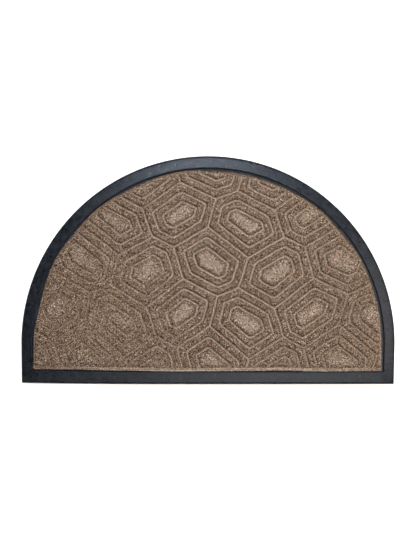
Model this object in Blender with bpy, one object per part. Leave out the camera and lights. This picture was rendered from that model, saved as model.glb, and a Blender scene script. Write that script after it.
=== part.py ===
"""Half round doormat.

A moulded rubber tray, flat underneath, with a bevelled rim round its edge, and an embossed
needle-punched carpet that lies in the tray. Seen from above with its straight edge nearest,
X runs to the right, Y runs from the straight edge towards the round one, and Z is up.
The origin is under the middle of the mat, on the floor. All sizes are in metres.
"""

import itertools
import math

import bmesh
import bpy
from mathutils import Vector

# Outline of the mat
MAT_WIDTH = 0.750
SIDE_LENGTH = 0.0833
CORNER_RISE_LEFT = 0.0030
CORNER_RISE_RIGHT = 0.0004
DRAW_IN_LEFT = 0.0010
DRAW_IN_RIGHT = 0.0020
ARC_STEPS = 72
EDGE_STEPS = 16

RADIUS = MAT_WIDTH / 2
MAT_DEPTH = RADIUS + SIDE_LENGTH
STRAIGHT_EDGE_Y = -MAT_DEPTH / 2
ARC_CENTRE_Y = STRAIGHT_EDGE_Y + SIDE_LENGTH

# Rubber tray, from the floor up
RIM_WIDTH = 0.0247
# The opening for the carpet is drawn out at its right-hand and left-hand ends
OPENING_DRAWN_RIGHT = 0.0030
OPENING_DRAWN_LEFT = 0.0022
OUTER_WALL_HEIGHT = 0.0014
OUTER_EDGE_HEIGHT = 0.0028
OUTER_EDGE_WIDTH = 0.0016
LIP_HEIGHT = 0.0082
LIP_WIDTH = 0.0014
LIP_ROUNDING = 0.0004
INNER_WALL_LEAN = 0.0006
TRAY_FLOOR = 0.0025

# Carpet, from its underside up
FIT_GAP = 0.0003
CARPET_UNDERSIDE = TRAY_FLOOR + FIT_GAP
MARGIN_TOP = 0.0047
GROOVE_FLOOR = 0.0050
SHOULDER_TOP = 0.0070
BAND_TOP = 0.0075
PLATEAU_TOP = 0.0073
MARGIN_WIDTH = 0.0050
BAND_END_LEAN = 0.36
RELIEF_UNDERSIDE = (CARPET_UNDERSIDE + MARGIN_TOP) / 2
CUTTER_TOP = 0.0120

# The cut edge of the carpet wanders: gap between it and the rim by angle round the arc
EDGE_GAP_ROUND_ARC = [
    {"angle": 0, "gap": 0.0056},
    {"angle": 15, "gap": 0.0054},
    {"angle": 30, "gap": 0.0038},
    {"angle": 40, "gap": 0.0059},
    {"angle": 50, "gap": 0.0036},
    {"angle": 62, "gap": 0.0060},
    {"angle": 88, "gap": 0.0064},
    {"angle": 100, "gap": 0.0025},
    {"angle": 115, "gap": 0.0058},
    {"angle": 130, "gap": 0.0026},
    {"angle": 140, "gap": 0.0049},
    {"angle": 150, "gap": 0.0027},
    {"angle": 168, "gap": 0.0066},
    {"angle": 180, "gap": 0.0020},
]
# Gap between the carpet and the rim along the straight edge, from left to right
EDGE_GAP_ALONG_STRAIGHT_EDGE = [
    {"across": -0.350, "gap": 0.0056},
    {"across": -0.270, "gap": 0.0050},
    {"across": -0.180, "gap": 0.0028},
    {"across": -0.060, "gap": 0.0010},
    {"across": 0.060, "gap": 0.0020},
    {"across": 0.150, "gap": 0.0029},
    {"across": 0.230, "gap": 0.0010},
    {"across": 0.350, "gap": 0.0020},
]

# Pressed pattern: one repeat of an irregular net of hexagons, charted by its corners
REPEAT_RIGHT = (0.2600, -0.0025)
REPEAT_DOWN = (0.0040, -0.1985)
CORNERS = [
    {"name": "a", "across": -0.0540, "up": 0.1815},
    {"name": "b", "across": 0.0150, "up": 0.1460},
    {"name": "c", "across": 0.0575, "up": 0.1630},
    {"name": "d", "across": -0.1295, "up": 0.1235},
    {"name": "e", "across": 0.0000, "up": 0.0880},
    {"name": "f", "across": -0.1105, "up": 0.0675},
    {"name": "g", "across": -0.0685, "up": 0.0460},
    {"name": "h", "across": 0.0800, "up": 0.0245},
]
# Corners round each hexagon, with the number of repeats to the right and down that each is in
HEXAGONS = [
    [("a", 0, 0), ("d", 0, 0), ("f", 0, 0), ("g", 0, 0), ("e", 0, 0), ("b", 0, 0)],
    [("b", 0, 0), ("e", 0, 0), ("h", 0, 0), ("f", 1, 0), ("d", 1, 0), ("c", 0, 0)],
    [("f", 0, 0), ("h", -1, 0), ("c", -1, 1), ("d", 0, 1), ("a", 0, 1), ("g", 0, 0)],
    [("g", 0, 0), ("a", 0, 1), ("b", 0, 1), ("c", 0, 1), ("h", 0, 0), ("e", 0, 0)],
]
# The pressing pulled the pattern out of true: how far, at a reach from the mat's middle. Towards
# both ends it went right and up, the rows sag at the top and bottom, and the top is spread wider
PULL_REACH = 0.2000
ENDS_PULLED_RIGHT = 0.0020
TOP_SPREAD = 0.0070
ENDS_PULLED_UP = 0.0035
ROW_SAG = 0.0065
# A hexagon counts as meeting the mat if its middle is no further outside the outline
HEXAGON_REACH = 0.0550

# Grooves: one that hexagons share, and loops inside each
LOOPS = 2
LOOP_SPACING = 0.0167
GROOVE_FLOOR_WIDTH = 0.0034
GROOVE_WIDTH = 0.0062
SHOULDER_WIDTH = 0.0018

# Finishes: linear colour and roughness
RUBBER_COLOUR = (0.030, 0.033, 0.038)
RUBBER_ROUGHNESS = 0.55
PILE_COLOUR = (0.19, 0.14, 0.10)
PILE_ROUGHNESS = 0.95
# Edges that turn by more than this stay crisp on the rubber
CRISP_EDGE_DEGREES = 12


def spread(low, high, steps):
    """Evenly spaced values from low to high."""
    return [low + (high - low) * step / steps for step in range(steps + 1)]


def read_gap(rows, key, place):
    """The gap at a place between the rows of a table, changing gently from row to row."""
    for row, following in zip(rows, rows[1:]):
        if place <= following[key]:
            share = max(0, (place - row[key]) / (following[key] - row[key]))
            ease = (1 - math.cos(math.pi * share)) / 2
            return row["gap"] + (following["gap"] - row["gap"]) * ease
    return rows[-1]["gap"]


def arc_point(reach, angle):
    """A point at a distance from the middle of the arc, anticlockwise from the right."""
    return (reach * math.cos(angle), ARC_CENTRE_Y + reach * math.sin(angle))


def drawn_out(across, inwards=1):
    """Where a place across the mat moves to, because the opening is drawn out at its ends.
    Inwards is 0 at the mat's outer edge and 1 inside the rim."""
    to_right = OPENING_DRAWN_RIGHT * (1 + across / RADIUS) / 2
    to_left = OPENING_DRAWN_LEFT * (1 - across / RADIUS) / 2
    return across + inwards * (to_right - to_left)


def mat_outline():
    """Outline of the mat, anticlockwise from the right-hand end of the arc."""
    points = [arc_point(RADIUS, angle) for angle in spread(0, math.pi, ARC_STEPS)]
    for across in spread(DRAW_IN_LEFT - RADIUS, RADIUS - DRAW_IN_RIGHT, EDGE_STEPS):
        rise = CORNER_RISE_LEFT if across < 0 else CORNER_RISE_RIGHT
        points.append((across, STRAIGHT_EDGE_Y + rise * abs(across / RADIUS) ** 3))
    return points


def carpet_outline(inset=0.0):
    """Cut edge of the carpet, anticlockwise from the right-hand end of the arc."""
    points = []
    for angle in spread(0, 180, ARC_STEPS):
        gap = read_gap(EDGE_GAP_ROUND_ARC, "angle", angle)
        across, up = arc_point(RADIUS - RIM_WIDTH - gap - inset, math.radians(angle))
        points.append((drawn_out(across), up))
    for across in spread(points[-1][0], points[0][0], EDGE_STEPS):
        gap = read_gap(EDGE_GAP_ALONG_STRAIGHT_EDGE, "across", across)
        points.append((across, STRAIGHT_EDGE_Y + RIM_WIDTH + gap + inset))
    return points


def face_from(bm, points, height):
    """One flat face, facing up, on an outline's points."""
    return bm.faces.new([bm.verts.new((x, y, height)) for x, y in points])


def raise_block(bm, faces, height):
    """Closes flat faces into a block with its top at a height, and gives the top faces."""
    grown = bmesh.ops.extrude_face_region(bm, geom=faces, use_keep_orig=True)["geom"]
    for vert in grown:
        if isinstance(vert, bmesh.types.BMVert):
            vert.co.z = height
    bmesh.ops.recalc_face_normals(bm, faces=bm.faces)
    return [face for face in grown if isinstance(face, bmesh.types.BMFace)]


def shape_top(bm, faces, start, profile):
    """Steps each face inwards along a profile of (distance from its edge, height)."""
    distance, height = start
    for next_distance, next_height in profile:
        bmesh.ops.inset_individual(
            bm,
            faces=faces,
            thickness=next_distance - distance,
            depth=next_height - height,
            use_even_offset=True,
        )
        distance, height = next_distance, next_height


def finish_object(name, bm, collection):
    """Puts a bmesh into a collection as an object."""
    mesh = bpy.data.meshes.new(name)
    bm.to_mesh(mesh)
    bm.free()
    made = bpy.data.objects.new(name, mesh)
    collection.objects.link(made)
    return made


def add_material(made, name, colour, roughness):
    """Gives an object its own plain material."""
    material = bpy.data.materials.new(name)
    material.use_nodes = True
    shader = material.node_tree.nodes["Principled BSDF"]
    shader.inputs["Base Color"].default_value = (*colour, 1)
    shader.inputs["Roughness"].default_value = roughness
    shader.inputs["Metallic"].default_value = 0
    made.data.materials.append(material)


def as_guide(made):
    """Marks a cutter, which is no part of the mat."""
    made.hide_render = True
    made.display_type = "WIRE"
    return made


def combine(made, other, operation):
    """Cuts an object with another, or joins it to it."""
    boolean = made.modifiers.new(operation.lower(), "BOOLEAN")
    boolean.operation = operation
    boolean.object = other
    boolean.solver = "EXACT"


def rubber_base(collection):
    """The moulded tray: a thin backing, and the bevelled rim that rises to a lip."""
    bm = bmesh.new()
    top = raise_block(bm, [face_from(bm, mat_outline(), 0)], OUTER_WALL_HEIGHT)
    lip_outside = RIM_WIDTH - LIP_WIDTH - INNER_WALL_LEAN
    profile = [
        (OUTER_EDGE_WIDTH / 3, (OUTER_WALL_HEIGHT + OUTER_EDGE_HEIGHT) / 2),
        (OUTER_EDGE_WIDTH, OUTER_EDGE_HEIGHT),
        (lip_outside, LIP_HEIGHT - LIP_ROUNDING),
        (lip_outside + LIP_WIDTH / 3, LIP_HEIGHT),
        (lip_outside + LIP_WIDTH * 2 / 3, LIP_HEIGHT),
        (lip_outside + LIP_WIDTH, LIP_HEIGHT - LIP_ROUNDING),
        (RIM_WIDTH, TRAY_FLOOR),
    ]
    shape_top(bm, top, (0, OUTER_WALL_HEIGHT), profile)
    for vert in bm.verts:
        inwards = min(1, max(0, -outside_mat(vert.co.xy) / RIM_WIDTH))
        vert.co.x = drawn_out(vert.co.x, inwards)
    base = finish_object("rubber_base", bm, collection)
    base.data.shade_smooth()
    base.data.set_sharp_from_angle(angle=math.radians(CRISP_EDGE_DEGREES))
    add_material(base, "moulded_rubber", RUBBER_COLOUR, RUBBER_ROUGHNESS)


def relief_profile():
    """Section of the pressed pattern, inwards from the middle of a groove that hexagons share."""
    profile = []
    for loop in range(LOOPS + 1):
        middle = loop * LOOP_SPACING
        floor, wall = GROOVE_FLOOR_WIDTH / 2, GROOVE_WIDTH / 2
        top = PLATEAU_TOP if loop == LOOPS else BAND_TOP
        if loop:
            profile += [
                (middle - wall - SHOULDER_WIDTH, BAND_TOP),
                (middle - wall, SHOULDER_TOP),
                (middle - floor, GROOVE_FLOOR),
            ]
        profile += [
            (middle + floor, GROOVE_FLOOR),
            (middle + wall, SHOULDER_TOP),
            (middle + wall + SHOULDER_WIDTH, top),
        ]
    return profile


def corner_place(name, repeats_right, repeats_down):
    """Where a corner of the pattern lies on the carpet."""
    row = next(row for row in CORNERS if row["name"] == name)
    spot = Vector((row["across"], row["up"]))
    spot += repeats_right * Vector(REPEAT_RIGHT) + repeats_down * Vector(REPEAT_DOWN)
    across, up = spot / PULL_REACH
    pulled_right = ENDS_PULLED_RIGHT * across**2 + TOP_SPREAD * across * up
    pulled_up = ENDS_PULLED_UP * across**2 - ROW_SAG * up**2
    return spot + Vector((pulled_right, pulled_up))


def outside_mat(spot):
    """How far a spot lies outside the mat's outline."""
    if spot.y > ARC_CENTRE_Y:
        return (spot - Vector((0, ARC_CENTRE_Y))).length - RADIUS
    return max(abs(spot.x) - RADIUS, STRAIGHT_EDGE_Y - spot.y)


def hexagon_net(bm, height):
    """The hexagons that meet the mat, as flat faces that share their corners."""
    verts = {}
    faces = []
    for across, down, corners in itertools.product(range(-2, 3), range(-2, 3), HEXAGONS):
        keys = [(name, across + right, down + below) for name, right, below in corners]
        spots = [corner_place(*key) for key in keys]
        if outside_mat(sum(spots, Vector((0, 0))) / len(spots)) > HEXAGON_REACH:
            continue
        for key, spot in zip(keys, spots):
            if key not in verts:
                verts[key] = bm.verts.new((*spot, height))
        faces.append(bm.faces.new([verts[key] for key in keys]))
    return faces


def pile_carpet(collection, cutters):
    """The embossed carpet: raised bands and plateaus on a pressed backing with a flat margin."""
    bm = bmesh.new()
    top = raise_block(bm, hexagon_net(bm, RELIEF_UNDERSIDE), GROOVE_FLOOR)
    shape_top(bm, top, (0, GROOVE_FLOOR), relief_profile())
    relief = as_guide(finish_object("relief", bm, cutters))

    bm = bmesh.new()
    top = raise_block(bm, [face_from(bm, carpet_outline(MARGIN_WIDTH), 0)], MARGIN_TOP)
    run = BAND_END_LEAN * (CUTTER_TOP - MARGIN_TOP)
    shape_top(bm, top, (0, MARGIN_TOP), [(run, CUTTER_TOP)])
    band_limit = as_guide(finish_object("band_limit", bm, cutters))
    combine(relief, band_limit, "INTERSECT")

    bm = bmesh.new()
    raise_block(bm, [face_from(bm, carpet_outline(), CARPET_UNDERSIDE)], MARGIN_TOP)
    carpet = finish_object("pile_carpet", bm, collection)
    combine(carpet, relief, "UNION")
    add_material(carpet, "needle_punched_pile", PILE_COLOUR, PILE_ROUGHNESS)


def main():
    for old in list(bpy.data.objects):
        bpy.data.objects.remove(old)
    doormat = bpy.data.collections.new("half_round_doormat")
    cutters = bpy.data.collections.new("cutters")
    for collection in (doormat, cutters):
        bpy.context.scene.collection.children.link(collection)
    rubber_base(doormat)
    pile_carpet(doormat, cutters)


main()
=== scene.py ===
"""Looks of the half round doormat: a moulded rubber tray with an embossed, needle-punched carpet.

Everything is in metres in the frame of the solids: X along the straight edge, Y towards the round
edge, Z up from the floor, with the origin under the middle of the mat.
"""

import itertools
import math

import bmesh
import bpy
from mathutils import Matrix, Vector, noise


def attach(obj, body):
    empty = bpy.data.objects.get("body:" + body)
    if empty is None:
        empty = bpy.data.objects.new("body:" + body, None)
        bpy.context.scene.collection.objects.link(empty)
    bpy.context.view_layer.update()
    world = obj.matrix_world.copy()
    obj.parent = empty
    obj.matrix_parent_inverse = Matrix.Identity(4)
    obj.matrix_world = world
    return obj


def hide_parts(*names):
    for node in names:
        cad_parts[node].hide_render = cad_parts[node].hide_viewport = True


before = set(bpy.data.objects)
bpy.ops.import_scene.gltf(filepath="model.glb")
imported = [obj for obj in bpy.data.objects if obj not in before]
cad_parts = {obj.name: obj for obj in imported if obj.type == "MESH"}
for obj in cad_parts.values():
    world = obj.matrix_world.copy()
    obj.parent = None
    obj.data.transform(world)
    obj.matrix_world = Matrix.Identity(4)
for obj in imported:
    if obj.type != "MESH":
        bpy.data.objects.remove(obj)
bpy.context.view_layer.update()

# Outline of the mat, as in the solids. The straight edge rises a little to its two corners, which
# are drawn in a little, each by its own amount
RADIUS = 0.375
SIDE_LENGTH = 0.0833
CORNER_RISE_LEFT = 0.0030
CORNER_RISE_RIGHT = 0.0004
DRAW_IN_LEFT = 0.0010
DRAW_IN_RIGHT = 0.0020
STRAIGHT_EDGE_Y = -(RADIUS + SIDE_LENGTH) / 2
ARC_CENTRE_Y = STRAIGHT_EDGE_Y + SIDE_LENGTH
ARC_STEPS = 144
EDGE_STEPS = 24

# Section of the rubber rim, from the mat's outer edge inwards: a thin moulded flash, the foot of
# the bevel, the bevel, and a rounded lip round the opening, which is drawn out at both ends
RIM_WIDTH = 0.0247
OPENING_DRAWN_RIGHT = 0.0030
OPENING_DRAWN_LEFT = 0.0022
OUTER_WALL_HEIGHT = 0.0012
FLASH_ROUNDING = 0.0005
FLASH_WIDTH = 0.0006
BEVEL_FOOT_WIDTH = 0.0006
BEVEL_FOOT_HEIGHT = 0.0026
LIP_HEIGHT = 0.0082
LIP_WIDTH = 0.0016
LIP_RISE = LIP_WIDTH / 4
INNER_WALL_WIDTH = 0.0006
TRAY_FLOOR = 0.0025
ROUNDING_STEPS = 4
SLOPE_STEPS = 5

# Section of the carpet: a flat pressed margin, bands, grooves and plateaus
CARPET_UNDERSIDE = 0.0028
MARGIN_TOP = 0.0047
GROOVE_FLOOR = 0.0050
BAND_TOP = 0.0075
PLATEAU_TOP = 0.0073
MARGIN_WIDTH = 0.0038
MARGIN_WIDTH_AT_STRAIGHT_EDGE = 0.0062
MARGIN_FLATNESS = 0.8
MARGIN_PALENESS = 0.62
MARGIN_PALE_REACH = 0.37
# How far the cut ends of the bands lean back for each metre that they climb
BAND_END_LEAN = 0.6
BAND_END_LEAN_AT_STRAIGHT_EDGE = 2.6
RELIEF_UNDERSIDE = (CARPET_UNDERSIDE + MARGIN_TOP) / 2
CUTTER_TOP = 0.0090

# Gap between the carpet's cut edge and the rim, by angle round the arc
EDGE_GAP_ROUND_ARC = [
    {"angle": 0, "gap": 0.0056},
    {"angle": 15, "gap": 0.0054},
    {"angle": 30, "gap": 0.0038},
    {"angle": 40, "gap": 0.0059},
    {"angle": 50, "gap": 0.0036},
    {"angle": 62, "gap": 0.0060},
    {"angle": 88, "gap": 0.0064},
    {"angle": 100, "gap": 0.0025},
    {"angle": 115, "gap": 0.0058},
    {"angle": 130, "gap": 0.0026},
    {"angle": 140, "gap": 0.0049},
    {"angle": 150, "gap": 0.0027},
    {"angle": 168, "gap": 0.0066},
    {"angle": 180, "gap": 0.0020},
]
# Gap between the carpet and the rim along the straight edge, from left to right
EDGE_GAP_ALONG_STRAIGHT_EDGE = [
    {"across": -0.350, "gap": 0.0056},
    {"across": -0.270, "gap": 0.0050},
    {"across": -0.180, "gap": 0.0028},
    {"across": -0.060, "gap": 0.0010},
    {"across": 0.060, "gap": 0.0020},
    {"across": 0.150, "gap": 0.0029},
    {"across": 0.230, "gap": 0.0010},
    {"across": 0.350, "gap": 0.0020},
]

# Pressed pattern: one repeat of an irregular net of hexagons, charted by its corners, and the
# repeats each way, to the right and down, that can meet the mat
REPEAT_RIGHT = (0.2600, -0.0025)
REPEAT_DOWN = (0.0040, -0.1985)
REPEATS = range(-2, 3)
CORNERS = [
    {"name": "a", "across": -0.0540, "up": 0.1815},
    {"name": "b", "across": 0.0150, "up": 0.1460},
    {"name": "c", "across": 0.0575, "up": 0.1630},
    {"name": "d", "across": -0.1295, "up": 0.1235},
    {"name": "e", "across": 0.0000, "up": 0.0880},
    {"name": "f", "across": -0.1105, "up": 0.0675},
    {"name": "g", "across": -0.0685, "up": 0.0460},
    {"name": "h", "across": 0.0800, "up": 0.0245},
]
# Corners round each hexagon, with the number of repeats to the right and down that each is in
HEXAGONS = [
    [("a", 0, 0), ("d", 0, 0), ("f", 0, 0), ("g", 0, 0), ("e", 0, 0), ("b", 0, 0)],
    [("b", 0, 0), ("e", 0, 0), ("h", 0, 0), ("f", 1, 0), ("d", 1, 0), ("c", 0, 0)],
    [("f", 0, 0), ("h", -1, 0), ("c", -1, 1), ("d", 0, 1), ("a", 0, 1), ("g", 0, 0)],
    [("g", 0, 0), ("a", 0, 1), ("b", 0, 1), ("c", 0, 1), ("h", 0, 0), ("e", 0, 0)],
]
# The real net is a little out of true, by these amounts at this distance from the mat's middle
PULL_REACH = 0.2000
ENDS_PULLED_RIGHT = 0.0020
TOP_SPREAD = 0.0070
ENDS_PULLED_UP = 0.0035
ROW_SAG = 0.0065
# Hexagons whose middle lies further outside the mat than this are left out
HEXAGON_REACH = 0.0550
# Grooves inside the one that hexagons share, and the distance from groove to groove
LOOPS = 2
LOOP_SPACING = 0.0167

# Section of one groove, by distance from its middle: how far up the pile stands, from 0 to 1, how
# flat the fibre is pressed, and how much paler the pressing has left it; below 0 it is painted
# shade, which darkens the foot of the pile's walls
GROOVE_SECTION = [
    {"out": 0.0009, "stands": 0.00, "pressed": 1.0, "pale_and_painted_shade": 0.48},
    {"out": 0.0015, "stands": 0.06, "pressed": 0.9, "pale_and_painted_shade": 0.40},
    {"out": 0.0021, "stands": 0.34, "pressed": 0.6, "pale_and_painted_shade": 0.00},
    {"out": 0.0027, "stands": 0.68, "pressed": 0.3, "pale_and_painted_shade": -0.45},
    {"out": 0.0034, "stands": 0.88, "pressed": 0.1, "pale_and_painted_shade": -0.38},
    {"out": 0.0047, "stands": 0.97, "pressed": 0.0, "pale_and_painted_shade": -0.12},
    {"out": 0.0065, "stands": 1.00, "pressed": 0.0, "pale_and_painted_shade": 0.00},
]
# The plateau inside the last groove, by distance from its shoulder
PLATEAU_SECTION = [
    {"out": 0.0010, "pressed": 0.20, "pale_and_painted_shade": 0.12},
    {"out": 0.0024, "pressed": 0.30, "pale_and_painted_shade": 0.20},
    {"out": 0.0040, "pressed": 0.40, "pale_and_painted_shade": 0.32},
]
# The pattern is pressed less deep towards the lower left, and is palest right of the middle
FAINT_PLACE = Vector((-0.260, -0.145))
FAINT_REACH = 0.255
FAINT_SHARE = 0.60
PALEST_PLACE = Vector((0.025, 0.000))
PALE_REACH = 0.280
PALE_LOSS = 0.60
# Share of that fading that reaches pile which still stands
FADE_WHERE_STANDING = 0.6
# Corners of a plateau that come closer than this are merged, or its inner rings would cross
SHORTEST_SIDE = 0.0028
# Cuts along each side of the pattern's lines, and how many times their corners are rounded
SIDE_CUTS = 9
CORNER_PASSES = 1
# The lines wander and the tops are lumpy, in slow waves and in quick ones, and the lumps are this
# many times as high where the pile stands free
SLOW_WAVE = 0.030
QUICK_WAVE = 0.007
WANDER = 0.0005
LUMPS = 0.00028
LUMPINESS_WHERE_STANDING = 1.2
UNEVENNESS_SEED = 3
# Points this close to the relief's underside belong to it
HAIR = 0.00001

# Most of a noise texture's values lie between these
NOISE_LOW = 0.38
NOISE_HIGH = 0.62

# Finish of the rubber: blotches of bloom, and the grain of its mould, which is drawn coarser than
# it is, because the real one is too fine to show. The colours are by place on the dust's ramp
BLOOM_SIZE = 0.010
BLOOM_DEPTH = 0.0010
BLOOM_STRENGTH = 0.6
GRAIN_SIZE = 0.0024
GRAIN_DEPTH = 0.0005
GRAIN_STRENGTH = 0.9
GRAIN_SHARE = 0.6
RUBBER_COLOURS = [(0.40, "050608"), (0.5, "0C0F13"), (0.62, "1D2127")]
RUBBER_ROUGHNESS = (0.26, 0.50)
RUBBER_SHEEN = "D6E2F5"

# Finish of the fibre: its colours, and tufts from dark to light, which are evener where it is flat
STANDING_FELT = "57483B"
FLAT_FELT = "9B8E81"
FLAT_WISP = "AEA295"
TUFT_SIZE = 0.0017
TUFT_DEPTH = 0.0008
TUFT_STRENGTH = 0.8
LIGHTEST_TUFT = 2.05
EVENNESS_WHERE_FLAT = 0.7

# Wisps that stand on the pile in clumps. Each stands for a bundle of fibres, because a single one
# is too fine to show. Tilts are in radians, and the density is a number on each square metre
WISP_LENGTH = 0.0036
WISP_WIDTH = 0.00065
WISP_RISE = 0.0007
# The middle of a wisp stands this share of its rise above the pile, and its tips dip into it
WISP_ARCH = 0.6
WISP_SIZES = (0.7, 1.35)
WISP_TILTS = (0.4, 0.35)
WISP_SHADES = (0.50, 1.55)
WISP_DENSITY = 150000
SHARE_WHERE_PRESSED = 0.3
# Nothing is planted on a face whose normal points up by less than this
STEEPEST_FACING = 0.1
CLUMP_SIZE = 0.0035
CLUMP_EDGES = (0.42, 0.58)
CLUMP_DENSITIES = (0.05, 2)
# Colours of the heather: each one's share is of the density
WISPS = [
    {"name": "dark_brown", "seed": 11, "hex": "402F23", "share": 1.00},
    {"name": "mid_brown", "seed": 23, "hex": "695848", "share": 1.00},
    {"name": "sand", "seed": 37, "hex": "968A7D", "share": 0.95},
    {"name": "rust", "seed": 41, "hex": "80604E", "share": 0.45},
]

# Floor, a hair under the mat so that the two don't flicker
FLOOR_REACH = 4
FLOOR_DROP = 0.0002
FLOOR_COLOUR = "F6F6F6"

# Camera straight above, as in the photograph: the size of its pixels at the top of the pile, and
# how far the middle of the picture lies from the middle of the mat
PHOTO_PIXEL = 0.002005
PHOTO_HEIGHT_PIXELS = 555
MIDDLE_BELOW_MAT = 0.0150
MIDDLE_LEFT_OF_MAT = 0.0003
LENS_MM = 85
SENSOR_MM = 36

# Soft lights, by the direction that they shine from, anticlockwise from +X: the key is low, to
# rake across the pile, and the others stand where the rim's bevel mirrors them
LIGHTS = [
    {
        "name": "key",
        "azimuth": 62,
        "elevation": 38,
        "distance": 4.5,
        "size": 1.4,
        "watts": 360,
        "hex_colour": "FFFFFF",
    },
    {
        "name": "top",
        "azimuth": 94,
        "elevation": 56,
        "distance": 1.5,
        "size": 0.5,
        "watts": 12,
        "hex_colour": "FFFFFF",
    },
    {
        "name": "right",
        "azimuth": -5,
        "elevation": 54,
        "distance": 1.5,
        "size": 0.5,
        "watts": 8.5,
        "hex_colour": "FFECD8",
    },
    {
        "name": "low",
        "azimuth": -77,
        "elevation": 54,
        "distance": 1.5,
        "size": 0.6,
        "watts": 6.5,
        "hex_colour": "FFF3E6",
    },
]
FILL = 0.18
FILL_COLOUR = "F4F7FA"


def linear(hex_colour):
    """The linear RGBA of an sRGB hex colour."""
    made = []
    for start in (0, 2, 4):
        value = int(hex_colour[start : start + 2], 16) / 255
        made.append(value / 12.92 if value <= 0.04045 else ((value + 0.055) / 1.055) ** 2.4)
    return (*made, 1)


def add(tree, kind, inputs=None, **settings):
    """Adds a node with its settings; each input is a value, or an output socket to link."""
    made = tree.nodes.new(kind)
    for name, value in settings.items():
        setattr(made, name, value)
    for name, value in (inputs or {}).items():
        if isinstance(value, bpy.types.NodeSocket):
            tree.links.new(value, made.inputs[name])
        else:
            made.inputs[name].default_value = value
    return made


def new_material(name, roughness, ior):
    """A material with its shader's plain values set."""
    material = bpy.data.materials.new(name)
    material.use_nodes = True
    tree = material.node_tree
    shader = tree.nodes["Principled BSDF"]
    shader.inputs["Roughness"].default_value = roughness
    shader.inputs["IOR"].default_value = ior
    shader.inputs["Metallic"].default_value = 0
    return material, tree, shader


def moulded_rubber():
    """Moulded crumb rubber, blue-black: satin, a fine grain from the mould, and a grey bloom in
    blotches about a centimetre wide that dulls it here and there."""
    material, tree, shader = new_material("moulded_rubber", roughness=0.42, ior=1.52)
    place = add(tree, "ShaderNodeTexCoord").outputs["Object"]
    bloom = add(tree, "ShaderNodeTexNoise", {"Vector": place, "Scale": 1 / BLOOM_SIZE, "Detail": 5})
    grain = add(tree, "ShaderNodeTexNoise", {"Vector": place, "Scale": 1 / GRAIN_SIZE, "Detail": 3})
    dust = add(
        tree,
        "ShaderNodeMix",
        {0: GRAIN_SHARE, 2: bloom.outputs["Fac"], 3: grain.outputs["Fac"]},
    )
    colour = add(tree, "ShaderNodeValToRGB", {"Fac": dust.outputs[0]})
    elements = colour.color_ramp.elements
    while len(elements) < len(RUBBER_COLOURS):
        elements.new(0.5)
    for element, (place_on_ramp, hex_colour) in zip(elements, RUBBER_COLOURS):
        element.position = place_on_ramp
        element.color = linear(hex_colour)
    tree.links.new(colour.outputs["Color"], shader.inputs["Base Color"])
    smoothest, roughest = RUBBER_ROUGHNESS
    rough = add(
        tree,
        "ShaderNodeMapRange",
        {
            "Value": dust.outputs[0],
            "From Min": NOISE_LOW,
            "From Max": NOISE_HIGH,
            "To Min": smoothest,
            "To Max": roughest,
        },
    )
    tree.links.new(rough.outputs["Result"], shader.inputs["Roughness"])
    shader.inputs["Specular Tint"].default_value = linear(RUBBER_SHEEN)
    waves = add(
        tree,
        "ShaderNodeBump",
        {"Height": bloom.outputs["Fac"], "Distance": BLOOM_DEPTH, "Strength": BLOOM_STRENGTH},
    )
    bump = add(
        tree,
        "ShaderNodeBump",
        {
            "Height": grain.outputs["Fac"],
            "Distance": GRAIN_DEPTH,
            "Strength": GRAIN_STRENGTH,
            "Normal": waves.outputs["Normal"],
        },
    )
    tree.links.new(bump.outputs["Normal"], shader.inputs["Normal"])
    return material


def heather(tree, standing_hex, flat_hex, lightness):
    """Colour of the fibre: lighter and darker tuft by tuft, evener and paler where it is pressed
    flat, and darkened by painted shade at the foot of the pile. Gives the colour and the tufts."""
    pale_and_painted_shade = add(tree, "ShaderNodeAttribute", attribute_name="pale_and_painted_shade").outputs["Fac"]
    place = add(tree, "ShaderNodeTexCoord").outputs["Object"]
    tufts = add(tree, "ShaderNodeTexNoise", {"Vector": place, "Scale": 1 / TUFT_SIZE, "Detail": 1})
    tufts = tufts.outputs["Fac"]
    mottle = add(
        tree,
        "ShaderNodeMapRange",
        {"Value": tufts, "From Min": NOISE_LOW, "From Max": NOISE_HIGH, "To Max": LIGHTEST_TUFT},
    )
    even = add(tree, "ShaderNodeMath", {0: pale_and_painted_shade, 1: EVENNESS_WHERE_FLAT}, operation="MULTIPLY")
    evened = add(tree, "ShaderNodeMix", {0: even.outputs[0], 2: mottle.outputs["Result"], 3: 1.0})
    # Painted shade: where the paleness is below 0, the colour is darkened as if in shade at the foot
    # of the pile
    painted_shade = add(tree, "ShaderNodeMapRange", {"Value": pale_and_painted_shade, "From Min": -1, "From Max": 0})
    for factor in (painted_shade.outputs["Result"], lightness):
        evened = add(tree, "ShaderNodeMath", {0: evened.outputs[0], 1: factor}, operation="MULTIPLY")
    colour = add(
        tree,
        "ShaderNodeMix",
        {0: pale_and_painted_shade, "A": linear(standing_hex), "B": linear(flat_hex)},
        data_type="RGBA",
    )
    mottled = add(
        tree,
        "ShaderNodeHueSaturation",
        {"Value": evened.outputs[0], "Color": colour.outputs["Result"]},
    )
    return mottled.outputs["Color"], tufts


def carpet_felt():
    """Needle-punched polypropylene under the wisps: matted fibre in a brown heather, dull and
    soft, mottled tuft by tuft, paler where it is pressed flat, and darkened by painted shade
    at the foot of the pile."""
    material, tree, shader = new_material("needle_punched_felt", roughness=0.95, ior=1.49)
    colour, tufts = heather(tree, STANDING_FELT, FLAT_FELT, lightness=1.0)
    tree.links.new(colour, shader.inputs["Base Color"])
    bump = add(
        tree,
        "ShaderNodeBump",
        {"Height": tufts, "Distance": TUFT_DEPTH, "Strength": TUFT_STRENGTH},
    )
    tree.links.new(bump.outputs["Normal"], shader.inputs["Normal"])
    return material


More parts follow.
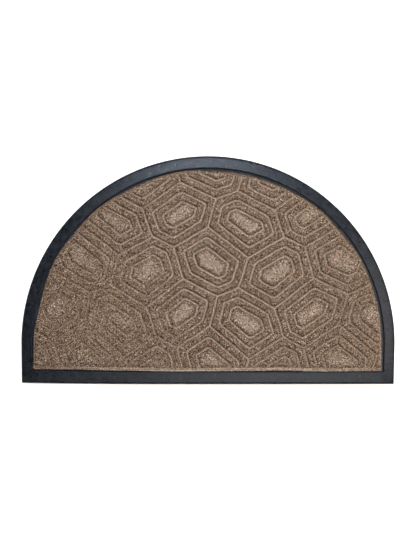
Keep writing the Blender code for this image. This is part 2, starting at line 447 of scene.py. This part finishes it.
def wisp_fibre(name, hex_colour):
    """One colour of polypropylene fibre in the heather: dull, each wisp a little lighter or
    darker than the next, paler where it is pressed flat, and darkened by painted shade at the
    foot of the pile."""
    material, tree, shader = new_material(name, roughness=0.85, ior=1.49)
    shade = add(tree, "ShaderNodeAttribute", attribute_name="shade").outputs["Fac"]
    darkest, lightest = WISP_SHADES
    lightness = add(
        tree,
        "ShaderNodeMapRange",
        {"Value": shade, "To Min": darkest, "To Max": lightest},
    )
    colour, _ = heather(tree, hex_colour, FLAT_WISP, lightness.outputs["Result"])
    tree.links.new(colour, shader.inputs["Base Color"])
    return material


def spread(low, high, steps):
    """Evenly spaced values from low to high."""
    return [low + (high - low) * step / steps for step in range(steps + 1)]


def read_gap(rows, key, place):
    """The gap at a place between the rows of a table, changing gently from row to row."""
    for row, following in zip(rows, rows[1:]):
        if place <= following[key]:
            share = max(0, (place - row[key]) / (following[key] - row[key]))
            ease = (1 - math.cos(math.pi * share)) / 2
            return row["gap"] + (following["gap"] - row["gap"]) * ease
    return rows[-1]["gap"]


def arc_point(reach, angle):
    """A point at a distance from the middle of the arc, anticlockwise from the right."""
    return (reach * math.cos(angle), ARC_CENTRE_Y + reach * math.sin(angle))


def drawn_out(across, inwards=1):
    """Where a place across the mat moves to, because the opening is drawn out at its ends.
    Inwards is 0 at the mat's outer edge and 1 inside the rim."""
    to_right = OPENING_DRAWN_RIGHT * (1 + across / RADIUS) / 2
    to_left = OPENING_DRAWN_LEFT * (1 - across / RADIUS) / 2
    return across + inwards * (to_right - to_left)


def mat_outline():
    """Outline of the mat, anticlockwise from the right-hand end of the arc."""
    points = [arc_point(RADIUS, angle) for angle in spread(0, math.pi, ARC_STEPS)]
    for across in spread(DRAW_IN_LEFT - RADIUS, RADIUS - DRAW_IN_RIGHT, EDGE_STEPS):
        rise = CORNER_RISE_LEFT if across < 0 else CORNER_RISE_RIGHT
        points.append((across, STRAIGHT_EDGE_Y + rise * abs(across / RADIUS) ** 3))
    return points


def carpet_outline(inset=0.0, inset_at_straight_edge=0.0):
    """Cut edge of the carpet, or a line inside it, anticlockwise from the arc's right-hand end."""
    points = []
    for angle in spread(0, 180, ARC_STEPS):
        gap = read_gap(EDGE_GAP_ROUND_ARC, "angle", angle)
        across, up = arc_point(RADIUS - RIM_WIDTH - gap - inset, math.radians(angle))
        points.append((drawn_out(across), up))
    for across in spread(points[-1][0], points[0][0], EDGE_STEPS):
        gap = read_gap(EDGE_GAP_ALONG_STRAIGHT_EDGE, "across", across)
        points.append((across, STRAIGHT_EDGE_Y + RIM_WIDTH + gap + inset_at_straight_edge))
    return points


def face_from(bm, points, height):
    """One flat face, facing up, on an outline's points."""
    return bm.faces.new([bm.verts.new((x, y, height)) for x, y in points])


def raise_block(bm, faces, height):
    """Closes flat faces into a block with its top at a height, and gives the top faces."""
    grown = bmesh.ops.extrude_face_region(bm, geom=faces, use_keep_orig=True)["geom"]
    for vert in grown:
        if isinstance(vert, bmesh.types.BMVert):
            vert.co.z = height
    bmesh.ops.recalc_face_normals(bm, faces=bm.faces)
    return [face for face in grown if isinstance(face, bmesh.types.BMFace)]


def step_in(bm, faces, start, end):
    """Steps each face inwards and up, from one (distance from its edge, height) to the next."""
    bmesh.ops.inset_individual(
        bm,
        faces=faces,
        thickness=end[0] - start[0],
        depth=end[1] - start[1],
        use_even_offset=True,
    )


def mark_corners(bm, name, value):
    """Gives each face corner a value worked out from its point, which a Boolean carries on."""
    layer = bm.loops.layers.float.new(name)
    for face in bm.faces:
        for loop in face.loops:
            loop[layer] = value(loop.vert)


def finish_object(name, bm):
    """Puts a bmesh into the scene as an object."""
    mesh = bpy.data.meshes.new(name)
    bm.to_mesh(mesh)
    bm.free()
    made = bpy.data.objects.new(name, mesh)
    bpy.context.scene.collection.objects.link(made)
    return made


def combine(made, other, operation):
    """Cuts an object with another or joins it to it, and removes the other."""
    boolean = made.modifiers.new(operation.lower(), "BOOLEAN")
    boolean.operation = operation
    boolean.object = other
    apply_modifiers(made)
    bpy.data.objects.remove(other)


def apply_modifiers(made):
    """Replaces an object's mesh with what its modifiers make of it."""
    evaluated = made.evaluated_get(bpy.context.evaluated_depsgraph_get())
    mesh = bpy.data.meshes.new_from_object(evaluated)
    made.modifiers.clear()
    made.data = mesh


def settle_order(made):
    """Puts an object's points and faces in the order of their places: extruding and Booleans give
    them in another order in each run, and the wisps are planted face by face."""
    old = bmesh.new()
    old.from_mesh(made.data)
    ranked = sorted(old.verts, key=lambda vert: tuple(vert.co))
    rank = {vert: number for number, vert in enumerate(ranked)}
    rounds = []
    for face in old.faces:
        corners = list(face.loops)
        first = min(range(len(corners)), key=lambda number: rank[corners[number].vert])
        rounds.append(corners[first:] + corners[:first])
    rounds.sort(key=lambda corners: [rank[corner.vert] for corner in corners])

    bm = bmesh.new()
    layers = []
    for name, old_layer in old.loops.layers.float.items():
        layers.append((old_layer, bm.loops.layers.float.new(name)))
    verts = [bm.verts.new(vert.co) for vert in ranked]
    for corners in rounds:
        face = bm.faces.new([verts[rank[corner.vert]] for corner in corners])
        for corner, loop in zip(corners, face.loops):
            for old_layer, layer in layers:
                loop[layer] = corner[old_layer]
    old.free()
    bm.to_mesh(made.data)
    bm.free()


def shade_round(made, crisp_degrees):
    """Shades an object smooth, with edges that turn sharply kept crisp."""
    made.data.shade_smooth()
    made.data.set_sharp_from_angle(angle=math.radians(crisp_degrees))


def rim_profile():
    """Section of the rubber from its outer wall to the tray floor: (distance inwards, height)."""
    profile = []
    for step in range(1, ROUNDING_STEPS + 1):
        turn = math.pi / 2 * step / ROUNDING_STEPS
        across = FLASH_ROUNDING * (1 - math.cos(turn))
        profile.append((across, OUTER_WALL_HEIGHT + FLASH_ROUNDING * math.sin(turn)))
    bevel_start = FLASH_WIDTH + BEVEL_FOOT_WIDTH
    profile.append((FLASH_WIDTH, OUTER_WALL_HEIGHT + FLASH_ROUNDING))
    profile.append((bevel_start, BEVEL_FOOT_HEIGHT))
    lip_start = RIM_WIDTH - INNER_WALL_WIDTH - LIP_WIDTH
    for step in range(1, SLOPE_STEPS + 1):
        share = step / SLOPE_STEPS
        climb = (LIP_HEIGHT - LIP_RISE - BEVEL_FOOT_HEIGHT) * share
        profile.append((bevel_start + (lip_start - bevel_start) * share, BEVEL_FOOT_HEIGHT + climb))
    for step in range(1, 2 * ROUNDING_STEPS + 1):
        turn = math.pi * step / (2 * ROUNDING_STEPS)
        across = lip_start + LIP_WIDTH * (1 - math.cos(turn)) / 2
        profile.append((across, LIP_HEIGHT - LIP_RISE + LIP_RISE * math.sin(turn)))
    profile.append((RIM_WIDTH, TRAY_FLOOR))
    return profile


def rubber_tray():
    """The moulded tray: a thin backing and the bevelled rim, with its edges rounded."""
    bm = bmesh.new()
    top = raise_block(bm, [face_from(bm, mat_outline(), 0)], OUTER_WALL_HEIGHT)
    place = (0, OUTER_WALL_HEIGHT)
    for following in rim_profile():
        step_in(bm, top, place, following)
        place = following
    for vert in bm.verts:
        inwards = min(1, max(0, -outside_mat(vert.co.xy) / RIM_WIDTH))
        vert.co.x = drawn_out(vert.co.x, inwards)
    tray = finish_object("rubber_tray", bm)
    settle_order(tray)
    shade_round(tray, crisp_degrees=50)
    tray.data.materials.append(moulded_rubber())
    return tray


def corner_place(name, repeats_right, repeats_down):
    """Where a corner of the pattern lies on the carpet."""
    row = next(row for row in CORNERS if row["name"] == name)
    spot = Vector((row["across"], row["up"]))
    spot += repeats_right * Vector(REPEAT_RIGHT) + repeats_down * Vector(REPEAT_DOWN)
    across, up = spot / PULL_REACH
    pulled_right = ENDS_PULLED_RIGHT * across**2 + TOP_SPREAD * across * up
    pulled_up = ENDS_PULLED_UP * across**2 - ROW_SAG * up**2
    return spot + Vector((pulled_right, pulled_up))


def outside_mat(spot):
    """How far a spot lies outside the mat's outline."""
    if spot.y > ARC_CENTRE_Y:
        return (spot - Vector((0, ARC_CENTRE_Y))).length - RADIUS
    return max(abs(spot.x) - RADIUS, STRAIGHT_EDGE_Y - spot.y)


def hexagon_net(bm, height):
    """The hexagons that meet the mat, as flat faces that share their corners."""
    verts = {}
    faces = []
    for across, down, corners in itertools.product(REPEATS, REPEATS, HEXAGONS):
        keys = [(name, across + right, down + below) for name, right, below in corners]
        spots = [corner_place(*key) for key in keys]
        if outside_mat(sum(spots, Vector((0, 0))) / len(spots)) > HEXAGON_REACH:
            continue
        for key, spot in zip(keys, spots):
            if key not in verts:
                verts[key] = bm.verts.new((*spot, height))
        faces.append(bm.faces.new([verts[key] for key in keys]))
    return faces


def relief_rings():
    """Section of the pressed pattern, inwards from the middle of a groove that hexagons share:
    rows of distance inwards, height, how flat the fibre is pressed and how pale it is, or below 0
    how much painted shade darkens it."""
    rings = []
    for loop in range(LOOPS + 1):
        middle = loop * LOOP_SPACING
        if loop:
            for row in reversed(GROOVE_SECTION):
                height = GROOVE_FLOOR + (BAND_TOP - GROOVE_FLOOR) * row["stands"]
                rings.append((middle - row["out"], height, row["pressed"], row["pale_and_painted_shade"]))
            rings.append((middle, GROOVE_FLOOR, 1.0, GROOVE_SECTION[0]["pale_and_painted_shade"]))
        top = PLATEAU_TOP if loop == LOOPS else BAND_TOP
        for row in GROOVE_SECTION:
            height = GROOVE_FLOOR + (top - GROOVE_FLOOR) * row["stands"]
            rings.append((middle + row["out"], height, row["pressed"], row["pale_and_painted_shade"]))
    shoulder = rings[-1][0]
    for row in PLATEAU_SECTION:
        rings.append((shoulder + row["out"], PLATEAU_TOP, row["pressed"], row["pale_and_painted_shade"]))
    return rings


def falling(spot, middle, reach):
    """A share that is 1 at a middle and falls to 0 at a reach from it."""
    return max(0, 1 - ((spot - middle).length / reach) ** 2)


def round_corners(edges):
    """Rounds the corners of the pattern's lines: each point moves towards its neighbours on them."""
    neighbours = {}
    for edge in edges:
        for vert in edge.verts:
            neighbours.setdefault(vert, []).append(edge.other_vert(vert))
    for _ in range(CORNER_PASSES):
        middles = []
        for near in neighbours.values():
            middles.append(sum((other.co for other in near), Vector()) / len(near))
        for vert, middle in zip(neighbours, middles):
            vert.co = (vert.co + middle) / 2


def unevenness(bm, pressed, pale_and_painted_shade):
    """Lets the lines of the pattern wander a little, makes the tops lumpy, and presses the
    pattern less deep, less pale and with less painted shade where the values above say."""
    noise.seed_set(UNEVENNESS_SEED)
    for vert in bm.verts:
        if vert.co.z < RELIEF_UNDERSIDE + HAIR:
            continue
        faint = FAINT_SHARE * falling(vert.co.xy, FAINT_PLACE, FAINT_REACH)
        palest = falling(vert.co.xy, PALEST_PLACE, PALE_REACH)
        vert.co.z += (BAND_TOP - vert.co.z) * faint
        faded = 1 - (1 - faint) * (1 - PALE_LOSS * (1 - palest))
        vert[pale_and_painted_shade] *= 1 - faded * (FADE_WHERE_STANDING + (1 - FADE_WHERE_STANDING) * vert[pressed])
        slow = noise.noise_vector(vert.co / SLOW_WAVE)
        quick = noise.noise_vector(vert.co / QUICK_WAVE)
        vert.co.x += WANDER * (2 * slow.x + quick.x)
        vert.co.y += WANDER * (2 * slow.y + quick.y)
        vert.co.z += LUMPS * (slow.z + quick.z) * (LUMPINESS_WHERE_STANDING - vert[pressed])


def pressed_relief():
    """The standing pile as one block: bands and plateaus between pressed grooves."""
    bm = bmesh.new()
    pressed = bm.verts.layers.float.new("flatness")
    # Paleness of the pressed fibre, and below 0 painted shade at the foot of the pile's walls
    pale_and_painted_shade = bm.verts.layers.float.new("paleness_and_painted_shade")
    ring = bm.verts.layers.int.new("ring")
    top = raise_block(bm, hexagon_net(bm, RELIEF_UNDERSIDE), GROOVE_FLOOR)
    for vert in bm.verts:
        vert[pressed], vert[pale_and_painted_shade] = 1.0, GROOVE_SECTION[0]["pale_and_painted_shade"]
        vert[ring] = 0 if vert.co.z > RELIEF_UNDERSIDE else -1
    place = (0, GROOVE_FLOOR)
    for number, (distance, height, flatness, paleness_and_painted_shade) in enumerate(relief_rings(), 1):
        step_in(bm, top, place, (distance, height))
        place = (distance, height)
        for vert in itertools.chain.from_iterable(face.verts for face in top):
            vert[pressed], vert[pale_and_painted_shade], vert[ring] = flatness, paleness_and_painted_shade, number
        if distance > LOOP_SPACING * LOOPS:
            stepped = [vert for vert in bm.verts if vert[ring] == number]
            bmesh.ops.remove_doubles(bm, verts=stepped, dist=SHORTEST_SIDE)
            top = [face for face in bm.faces if all(vert[ring] == number for vert in face.verts)]
    along = [edge for edge in bm.edges if edge.verts[0][ring] == edge.verts[1][ring] >= 0]
    bmesh.ops.subdivide_edges(bm, edges=along, cuts=SIDE_CUTS, use_grid_fill=True)
    along = [edge for edge in bm.edges if edge.verts[0][ring] == edge.verts[1][ring] >= 0]
    round_corners([edge for edge in along if edge.verts[0][ring] > len(GROOVE_SECTION)])
    unevenness(bm, pressed, pale_and_painted_shade)
    mark_corners(bm, "pressed", lambda vert: vert[pressed])
    # This attribute carries painted shade too, where it is below 0
    mark_corners(bm, "pale_and_painted_shade", lambda vert: vert[pale_and_painted_shade])
    return finish_object("relief", bm)


def band_limit():
    """A block with sloping sides that the standing pile is cut off with, inside the flat margin."""
    bm = bmesh.new()
    outline = carpet_outline(MARGIN_WIDTH, MARGIN_WIDTH_AT_STRAIGHT_EDGE)
    middle = raise_block(bm, [face_from(bm, outline, 0)], MARGIN_TOP)
    top = raise_block(bm, middle, CUTTER_TOP)
    bmesh.ops.delete(bm, geom=middle, context="FACES_ONLY")
    climb = CUTTER_TOP - MARGIN_TOP
    outline = carpet_outline(
        MARGIN_WIDTH + BAND_END_LEAN * climb,
        MARGIN_WIDTH_AT_STRAIGHT_EDGE + BAND_END_LEAN_AT_STRAIGHT_EDGE * climb,
    )
    bm.verts.index_update()
    corners = sorted(top[0].verts, key=lambda vert: vert.index)
    for vert, place in zip(corners, outline):
        vert.co.xy = place
    return finish_object("band_limit", bm)


def carpet_piece():
    """The embossed carpet: the standing pile, cut off at the flat pressed margin, on its backing."""
    relief = pressed_relief()
    combine(relief, band_limit(), "INTERSECT")

    bm = bmesh.new()
    raise_block(bm, [face_from(bm, carpet_outline(), CARPET_UNDERSIDE)], MARGIN_TOP)
    mark_corners(bm, "pressed", lambda vert: MARGIN_FLATNESS)
    palest = Vector((PALEST_PLACE.x, STRAIGHT_EDGE_Y))
    mark_corners(
        bm, "pale_and_painted_shade", lambda vert: MARGIN_PALENESS * falling(vert.co.xy, palest, MARGIN_PALE_REACH)
    )
    carpet = finish_object("carpet", bm)
    combine(carpet, relief, "UNION")
    settle_order(carpet)
    shade_round(carpet, crisp_degrees=45)
    carpet.data.materials.clear()
    carpet.data.materials.append(carpet_felt())
    return carpet


def bent_wisp():
    """One wisp of fibre: a three-sided spindle along X whose middle stands up."""
    bm = bmesh.new()
    half = WISP_LENGTH / 2
    touching = WISP_WIDTH / 100
    bmesh.ops.create_cone(
        bm,
        cap_ends=True,
        segments=3,
        radius1=WISP_WIDTH / 2,
        radius2=0,
        depth=half,
        matrix=Matrix.Translation((0, 0, half / 2)),
    )
    bmesh.ops.remove_doubles(bm, verts=bm.verts, dist=touching)
    base = [face for face in bm.faces if abs(face.calc_center_median().z) < touching]
    tail = bmesh.ops.poke(bm, faces=base)["verts"]
    bmesh.ops.translate(bm, verts=tail, vec=(0, 0, -half))
    bmesh.ops.rotate(bm, verts=bm.verts, matrix=Matrix.Rotation(math.pi / 2, 3, "Y"))
    for vert in bm.verts:
        vert.co.z += WISP_RISE * (WISP_ARCH - (vert.co.x / half) ** 2)
    return finish_object("wisp", bm)


def wisp_density(tree, row):
    """How many wisps of one colour stand on a square metre: more in clumps, fewer where the pile
    is pressed, and none on faces that are steep or look down."""
    pressed = add(tree, "GeometryNodeInputNamedAttribute", {"Name": "pressed"}).outputs["Attribute"]
    standing = add(
        tree,
        "ShaderNodeMapRange",
        {"Value": pressed, "To Min": 1, "To Max": SHARE_WHERE_PRESSED},
    )
    clump = add(
        tree,
        "ShaderNodeTexNoise",
        {"Scale": 1 / CLUMP_SIZE, "Detail": 1, "W": row["seed"]},
        noise_dimensions="4D",
    )
    clumped = add(
        tree,
        "ShaderNodeMapRange",
        {
            "Value": clump.outputs["Fac"],
            "From Min": CLUMP_EDGES[0],
            "From Max": CLUMP_EDGES[1],
            "To Min": CLUMP_DENSITIES[0],
            "To Max": CLUMP_DENSITIES[1],
        },
    )
    normal = add(tree, "GeometryNodeInputNormal").outputs["Normal"]
    facing = add(tree, "ShaderNodeSeparateXYZ", {"Vector": normal})
    upward = add(
        tree,
        "ShaderNodeMath",
        {0: facing.outputs["Z"], 1: STEEPEST_FACING},
        operation="GREATER_THAN",
    )
    density = standing.outputs["Result"]
    for factor in (WISP_DENSITY * row["share"], clumped.outputs["Result"], upward.outputs["Value"]):
        product = add(tree, "ShaderNodeMath", {0: density, 1: factor}, operation="MULTIPLY")
        density = product.outputs["Value"]
    return density


def scatter_tree(wisp, row):
    """Geometry nodes that plant one colour of wisp on the carpet, each turned, tilted and sized
    at random, with a random shade from 0 to 1."""
    tree = bpy.data.node_groups.new(f"plant_{row['name']}", "GeometryNodeTree")
    for direction in ("INPUT", "OUTPUT"):
        tree.interface.new_socket("Geometry", in_out=direction, socket_type="NodeSocketGeometry")
    carpet = add(tree, "NodeGroupInput").outputs["Geometry"]
    density = wisp_density(tree, row)
    planted = add(
        tree,
        "GeometryNodeDistributePointsOnFaces",
        {"Mesh": carpet, "Density": density, "Seed": row["seed"]},
    )
    shade = add(tree, "FunctionNodeRandomValue", {"Seed": row["seed"] + 1})
    stored = add(
        tree,
        "GeometryNodeStoreNamedAttribute",
        {"Geometry": planted.outputs["Points"], "Name": "shade", "Value": shade.outputs[1]},
    )
    over, sideways = WISP_TILTS
    turn = add(
        tree,
        "FunctionNodeRandomValue",
        {"Min": (-over, -sideways, 0), "Max": (over, sideways, math.tau), "Seed": row["seed"] + 2},
        data_type="FLOAT_VECTOR",
    )
    turned = add(
        tree,
        "FunctionNodeRotateRotation",
        {"Rotation": planted.outputs["Rotation"], "Rotate By": turn.outputs[0]},
        rotation_space="LOCAL",
    )
    smallest, largest = WISP_SIZES
    size = add(tree, "FunctionNodeRandomValue", {2: smallest, 3: largest, "Seed": row["seed"] + 3})
    placed = add(
        tree,
        "GeometryNodeInstanceOnPoints",
        {
            "Points": stored.outputs["Geometry"],
            "Instance": add(tree, "GeometryNodeObjectInfo", {"Object": wisp}).outputs["Geometry"],
            "Rotation": turned.outputs["Rotation"],
            "Scale": size.outputs[1],
        },
    )
    real = add(tree, "GeometryNodeRealizeInstances", {"Geometry": placed.outputs["Instances"]})
    add(tree, "NodeGroupOutput", {"Geometry": real.outputs["Geometry"]})
    return tree


def plant_wisps(carpet):
    """The loose wisps of fibre on the pile, one joined piece for each colour of the heather."""
    wisp = bent_wisp()
    pieces = []
    for row in WISPS:
        made = bpy.data.objects.new(f"wisps_{row['name']}", carpet.data)
        bpy.context.scene.collection.objects.link(made)
        modifier = made.modifiers.new("plant", "NODES")
        modifier.node_group = scatter_tree(wisp, row)
        apply_modifiers(made)
        made.data.materials.clear()
        made.data.materials.append(wisp_fibre(f"heather_fibre_{row['name']}", row["hex"]))
        pieces.append(made)
    bpy.data.objects.remove(wisp)
    return pieces


def softbox(name, azimuth, elevation, distance, size, watts, hex_colour):
    """A square soft light, aimed at the mat's middle."""
    light = bpy.data.lights.new(name, "AREA")
    light.color = linear(hex_colour)[:3]
    light.shape = "SQUARE"
    light.size = size
    light.energy = watts
    made = bpy.data.objects.new(name, light)
    bpy.context.scene.collection.objects.link(made)
    level = distance * math.cos(math.radians(elevation))
    turn = math.radians(azimuth)
    height = distance * math.sin(math.radians(elevation))
    made.location = (level * math.cos(turn), level * math.sin(turn), height)
    made.rotation_euler = (-made.location).to_track_quat("-Z", "Y").to_euler()


def studio_floor():
    """A pale matt floor."""
    bm = bmesh.new()
    bmesh.ops.create_grid(bm, x_segments=1, y_segments=1, size=FLOOR_REACH)
    bmesh.ops.translate(bm, verts=bm.verts, vec=(0, 0, -FLOOR_DROP))
    floor = finish_object("floor", bm)
    material, _, shader = new_material("pale_floor", roughness=0.8, ior=1.45)
    shader.inputs["Base Color"].default_value = linear(FLOOR_COLOUR)
    floor.data.materials.append(material)


def studio_light(scene):
    """A faint even fill and the soft lights. The rim doesn't mirror the key, as in the photo."""
    world = bpy.data.worlds.new("studio")
    world.use_nodes = True
    background = world.node_tree.nodes["Background"]
    background.inputs["Color"].default_value = linear(FILL_COLOUR)
    background.inputs["Strength"].default_value = FILL
    scene.world = world
    for light in LIGHTS:
        softbox(**light)
    scene.objects["key"].visible_glossy = False


def overhead_camera(scene):
    """The camera straight above the mat, at the height that gives the photo's scale."""
    lens = bpy.data.cameras.new("camera")
    lens.lens = LENS_MM
    lens.sensor_width = SENSOR_MM
    camera = bpy.data.objects.new("camera", lens)
    scene.collection.objects.link(camera)
    height = PHOTO_PIXEL * PHOTO_HEIGHT_PIXELS * LENS_MM / SENSOR_MM
    camera.location = (-MIDDLE_LEFT_OF_MAT, -MIDDLE_BELOW_MAT, BAND_TOP + height)
    scene.camera = camera


def main():
    """Makes the pieces, hides the tray and carpet solids, hangs the pieces on the root body, and
    sets up the studio.
    """
    tray = rubber_tray()
    carpet = carpet_piece()
    wisps = plant_wisps(carpet)
    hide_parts("rubber_base")
    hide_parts("pile_carpet")
    for piece in (tray, carpet, *wisps):
        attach(piece, "root")
    scene = bpy.context.scene
    scene.view_settings.view_transform = "Standard"
    studio_floor()
    studio_light(scene)
    overhead_camera(scene)


main()
